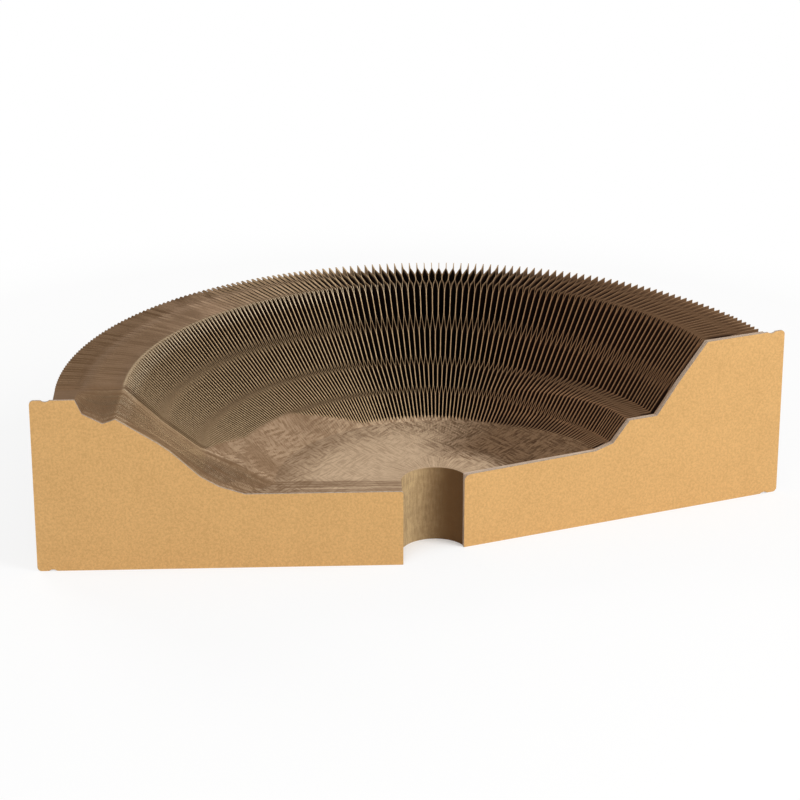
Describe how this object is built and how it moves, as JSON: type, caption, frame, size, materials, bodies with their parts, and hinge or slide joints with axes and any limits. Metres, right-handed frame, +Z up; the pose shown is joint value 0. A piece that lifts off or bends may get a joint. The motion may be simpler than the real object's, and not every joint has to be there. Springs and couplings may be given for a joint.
{
  "type": "cat scratcher",
  "caption": "Fold-out cat scratcher bed: a paper honeycomb between stepped cover boards, which opens like a fan into a bowl.",
  "frame": {"origin": "on the floor under the middle of the half-opened fan's footprint", "axes": "+X from the left cover to the right cover, +Y from the open front to the rim at the back, +Z up"},
  "size_m": [0.712, 0.358, 0.165],
  "materials": {
    "cover_board": "matte kraft board",
    "paper": "matte brown kraft paper"
  },
  "bodies": {
    "right_cover": {"cover_right": "cover_board", "paper_pack_01": "paper"},
    "sheet_01": {"carrier_sheet_01": "paper", "paper_pack_02": "paper"},
    "sheet_02": {"carrier_sheet_02": "paper", "paper_pack_03": "paper"},
    "sheet_03": {"carrier_sheet_03": "paper", "paper_pack_04": "paper"},
    "sheet_04": {"carrier_sheet_04": "paper", "paper_pack_05": "paper"},
    "sheet_05": {"carrier_sheet_05": "paper", "paper_pack_06": "paper"},
    "sheet_06": {"carrier_sheet_06": "paper", "paper_pack_07": "paper"},
    "sheet_07": {"carrier_sheet_07": "paper", "paper_pack_08": "paper"},
    "sheet_08": {"carrier_sheet_08": "paper", "paper_pack_09": "paper"},
    "middle_sheet": {"carrier_sheet_09": "paper"},
    "sheet_10": {"carrier_sheet_10": "paper", "paper_pack_10": "paper"},
    "sheet_11": {"carrier_sheet_11": "paper", "paper_pack_11": "paper"},
    "sheet_12": {"carrier_sheet_12": "paper", "paper_pack_12": "paper"},
    "sheet_13": {"carrier_sheet_13": "paper", "paper_pack_13": "paper"},
    "sheet_14": {"carrier_sheet_14": "paper", "paper_pack_14": "paper"},
    "sheet_15": {"carrier_sheet_15": "paper", "paper_pack_15": "paper"},
    "sheet_16": {"carrier_sheet_16": "paper", "paper_pack_16": "paper"},
    "sheet_17": {"carrier_sheet_17": "paper", "paper_pack_17": "paper"},
    "sheet_18": {"carrier_sheet_18": "paper", "paper_pack_18": "paper"},
    "sheet_19": {"carrier_sheet_19": "paper", "paper_pack_19": "paper"},
    "sheet_20": {"carrier_sheet_20": "paper", "paper_pack_20": "paper"},
    "sheet_21": {"carrier_sheet_21": "paper", "paper_pack_21": "paper"},
    "left_cover": {"cover_left": "cover_board", "paper_pack_22": "paper"}
  },
  "joints": [
    {"name": "fan_opening", "type": "hinge", "parent": "middle_sheet", "child": "sheet_10", "pos_m": [-0.00206, -0.12932, 0], "axis": [0, 0, 1], "range_deg": [-9.36, 7], "deforming": ["paper_pack_10"]},
    {"name": "fan_step_11", "type": "hinge", "parent": "sheet_10", "child": "sheet_11", "pos_m": [-0.00713, -0.13059, 0], "axis": [0, 0, 1], "range_deg": [-9.36, 7], "deforming": ["paper_pack_11"]},
    {"name": "fan_step_12", "type": "hinge", "parent": "sheet_11", "child": "sheet_12", "pos_m": [-0.01195, -0.13268, 0], "axis": [0, 0, 1], "range_deg": [-9.36, 7], "deforming": ["paper_pack_12"]},
    {"name": "fan_step_13", "type": "hinge", "parent": "sheet_12", "child": "sheet_13", "pos_m": [-0.01635, -0.13551, 0], "axis": [0, 0, 1], "range_deg": [-9.36, 7], "deforming": ["paper_pack_13"]},
    {"name": "fan_step_14", "type": "hinge", "parent": "sheet_13", "child": "sheet_14", "pos_m": [-0.0202, -0.13899, 0], "axis": [0, 0, 1], "range_deg": [-9.36, 7], "deforming": ["paper_pack_14"]},
    {"name": "fan_step_15", "type": "hinge", "parent": "sheet_14", "child": "sheet_15", "pos_m": [-0.02338, -0.14299, 0], "axis": [0, 0, 1], "range_deg": [-9.36, 7], "deforming": ["paper_pack_15"]},
    {"name": "fan_step_16", "type": "hinge", "parent": "sheet_15", "child": "sheet_16", "pos_m": [-0.02582, -0.14738, 0], "axis": [0, 0, 1], "range_deg": [-9.36, 7], "deforming": ["paper_pack_16"]},
    {"name": "fan_step_17", "type": "hinge", "parent": "sheet_16", "child": "sheet_17", "pos_m": [-0.02748, -0.15199, 0], "axis": [0, 0, 1], "range_deg": [-9.36, 7], "deforming": ["paper_pack_17"]},
    {"name": "folded_opening", "type": "hinge", "parent": "sheet_17", "child": "sheet_18", "pos_m": [-0.02835, -0.15671, 0], "axis": [0, 0, 1], "range_deg": [0, 16.36], "deforming": ["paper_pack_18"]},
    {"name": "folded_step_19", "type": "hinge", "parent": "sheet_18", "child": "sheet_19", "pos_m": [-0.02919, -0.16131, 0], "axis": [0, 0, 1], "range_deg": [0, 16.36], "deforming": ["paper_pack_19"]},
    {"name": "folded_step_20", "type": "hinge", "parent": "sheet_19", "child": "sheet_20", "pos_m": [-0.03002, -0.16583, 0], "axis": [0, 0, 1], "range_deg": [0, 16.36], "deforming": ["paper_pack_20"]},
    {"name": "folded_step_21", "type": "hinge", "parent": "sheet_20", "child": "sheet_21", "pos_m": [-0.03084, -0.17027, 0], "axis": [0, 0, 1], "range_deg": [0, 16.36], "deforming": ["paper_pack_21"]},
    {"name": "folded_step_22", "type": "hinge", "parent": "sheet_21", "child": "left_cover", "pos_m": [-0.03164, -0.17466, 0], "axis": [0, 0, 1], "range_deg": [0, 16.36], "deforming": ["paper_pack_22"]},
    {"name": "fan_step_09", "type": "hinge", "parent": "middle_sheet", "child": "sheet_08", "pos_m": [0.00311, -0.1289, 0], "axis": [0, 0, -1], "range_deg": [-9.36, 7], "deforming": ["paper_pack_09"]},
    {"name": "fan_step_08", "type": "hinge", "parent": "sheet_08", "child": "sheet_07", "pos_m": [0.00821, -0.12932, 0], "axis": [0, 0, -1], "range_deg": [-9.36, 7], "deforming": ["paper_pack_08"]},
    {"name": "fan_step_07", "type": "hinge", "parent": "sheet_07", "child": "sheet_06", "pos_m": [0.01307, -0.13053, 0], "axis": [0, 0, -1], "range_deg": [-9.36, 7], "deforming": ["paper_pack_07"]},
    {"name": "fan_step_06", "type": "hinge", "parent": "sheet_06", "child": "sheet_05", "pos_m": [0.01758, -0.13248, 0], "axis": [0, 0, -1], "range_deg": [-9.36, 7], "deforming": ["paper_pack_06"]},
    {"name": "fan_step_05", "type": "hinge", "parent": "sheet_05", "child": "sheet_04", "pos_m": [0.02161, -0.13508, 0], "axis": [0, 0, -1], "range_deg": [-9.36, 7], "deforming": ["paper_pack_05"]},
    {"name": "fan_step_04", "type": "hinge", "parent": "sheet_04", "child": "sheet_03", "pos_m": [0.02508, -0.13822, 0], "axis": [0, 0, -1], "range_deg": [-9.36, 7], "deforming": ["paper_pack_04"]},
    {"name": "fan_step_03", "type": "hinge", "parent": "sheet_03", "child": "sheet_02", "pos_m": [0.02793, -0.14181, 0], "axis": [0, 0, -1], "range_deg": [-9.36, 7], "deforming": ["paper_pack_03"]},
    {"name": "fan_step_02", "type": "hinge", "parent": "sheet_02", "child": "sheet_01", "pos_m": [0.03013, -0.14575, 0], "axis": [0, 0, -1], "range_deg": [-9.36, 7], "deforming": ["paper_pack_02"]},
    {"name": "fan_step_01", "type": "hinge", "parent": "sheet_01", "child": "right_cover", "pos_m": [0.03164, -0.14996, 0], "axis": [0, 0, -1], "range_deg": [-9.36, 7], "deforming": ["paper_pack_01"]}
  ],
  "couplings": [
    {"joint": "fan_step_11", "follows": "fan_opening", "ratio": 1},
    {"joint": "fan_step_12", "follows": "fan_opening", "ratio": 1},
    {"joint": "fan_step_13", "follows": "fan_opening", "ratio": 1},
    {"joint": "fan_step_14", "follows": "fan_opening", "ratio": 1},
    {"joint": "fan_step_15", "follows": "fan_opening", "ratio": 1},
    {"joint": "fan_step_16", "follows": "fan_opening", "ratio": 1},
    {"joint": "fan_step_17", "follows": "fan_opening", "ratio": 1},
    {"joint": "folded_step_19", "follows": "folded_opening", "ratio": 1},
    {"joint": "folded_step_20", "follows": "folded_opening", "ratio": 1},
    {"joint": "folded_step_21", "follows": "folded_opening", "ratio": 1},
    {"joint": "folded_step_22", "follows": "folded_opening", "ratio": 1},
    {"joint": "fan_step_09", "follows": "fan_opening", "ratio": 1},
    {"joint": "fan_step_08", "follows": "fan_opening", "ratio": 1},
    {"joint": "fan_step_07", "follows": "fan_opening", "ratio": 1},
    {"joint": "fan_step_06", "follows": "fan_opening", "ratio": 1},
    {"joint": "fan_step_05", "follows": "fan_opening", "ratio": 1},
    {"joint": "fan_step_04", "follows": "fan_opening", "ratio": 1},
    {"joint": "fan_step_03", "follows": "fan_opening", "ratio": 1},
    {"joint": "fan_step_02", "follows": "fan_opening", "ratio": 1},
    {"joint": "fan_step_01", "follows": "fan_opening", "ratio": 1}
  ]
}
